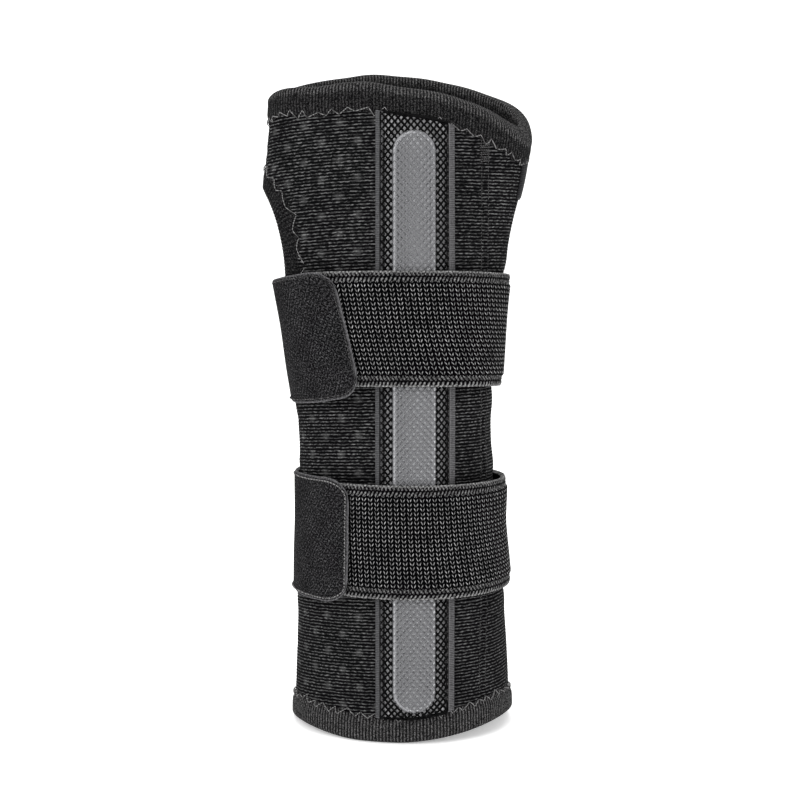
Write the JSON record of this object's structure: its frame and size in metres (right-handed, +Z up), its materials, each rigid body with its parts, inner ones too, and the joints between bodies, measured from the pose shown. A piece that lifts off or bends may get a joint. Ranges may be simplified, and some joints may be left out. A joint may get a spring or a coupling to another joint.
{
  "type": "wrist splint",
  "caption": "Padded wrist splint for the right hand: a sleeve with a thumb hole, a metal stay in a mesh pocket and two elastic wrap straps with hook tabs.",
  "frame": {"origin": "the middle of the forearm opening, in the plane that the forearm end stands on", "axes": "+Z up the forearm towards the hand, -Y out from the palm side where the stay lies, -X the thumb side"},
  "size_m": [0.0923, 0.0743, 0.2257],
  "materials": {
    "knit": "fine cross-ribbed stretch knit, matt black",
    "foam": "perforated neoprene-type foam, dark grey",
    "lining": "smooth jersey lining, black",
    "stay_metal": "mill-finish grey metal bar",
    "mesh": "open net, black",
    "tape": "woven satin tape, charcoal",
    "binding": "ribbed knit edge binding, black",
    "elastic": "heavy ribbed elastic webbing, black",
    "tab": "brushed laminate, dark grey",
    "hook": "moulded micro hooks, black"
  },
  "bodies": {
    "root": {"outer_panel_thumb_side": "knit", "outer_panel_finger_front": "knit", "outer_panel_finger_side": "knit", "outer_panel_back": "knit", "foam_core_front": "foam", "foam_core_back": "foam", "lining": "lining", "pocket_backing": "lining", "splint_stay": "stay_metal", "pocket_mesh": "mesh", "pocket_tape_thumb_side": "tape", "pocket_tape_finger_side": "tape", "hand_end_binding": "binding", "forearm_end_binding": "binding", "thumb_hole_binding": "binding", "side_label": "tape", "upper_elastic_band": "elastic", "lower_elastic_band": "elastic"},
    "upper_tail": {"upper_elastic_tail": "elastic", "upper_tab_base": "tab"},
    "upper_tab": {"upper_tab_flap": "tab", "upper_hook_patch": "hook"},
    "lower_tail": {"lower_elastic_tail": "elastic", "lower_tab_base": "tab"},
    "lower_tab": {"lower_tab_flap": "tab", "lower_hook_patch": "hook"}
  },
  "joints": [
    {"name": "upper_tail_swing", "type": "hinge", "parent": "root", "child": "upper_tail", "pos_m": [-0.0162, 0.01514, 0.13613], "axis": [0, 0.0295, -0.9996], "range_deg": [0, 70]},
    {"name": "upper_tab_peel", "type": "hinge", "parent": "upper_tail", "child": "upper_tab", "pos_m": [-0.03977, -0.01863, 0.13428], "axis": [0.1367, -0.0234, -0.9903], "range_deg": [0, 110]},
    {"name": "lower_tail_swing", "type": "hinge", "parent": "root", "child": "lower_tail", "pos_m": [-0.0162, 0.02152, 0.0687], "axis": [0, 0.1457, -0.9893], "range_deg": [0, 70]},
    {"name": "lower_tab_peel", "type": "hinge", "parent": "lower_tail", "child": "lower_tab", "pos_m": [-0.03646, -0.01727, 0.0685], "axis": [-0.0211, 0.0474, -0.9987], "range_deg": [0, 110]}
  ]
}
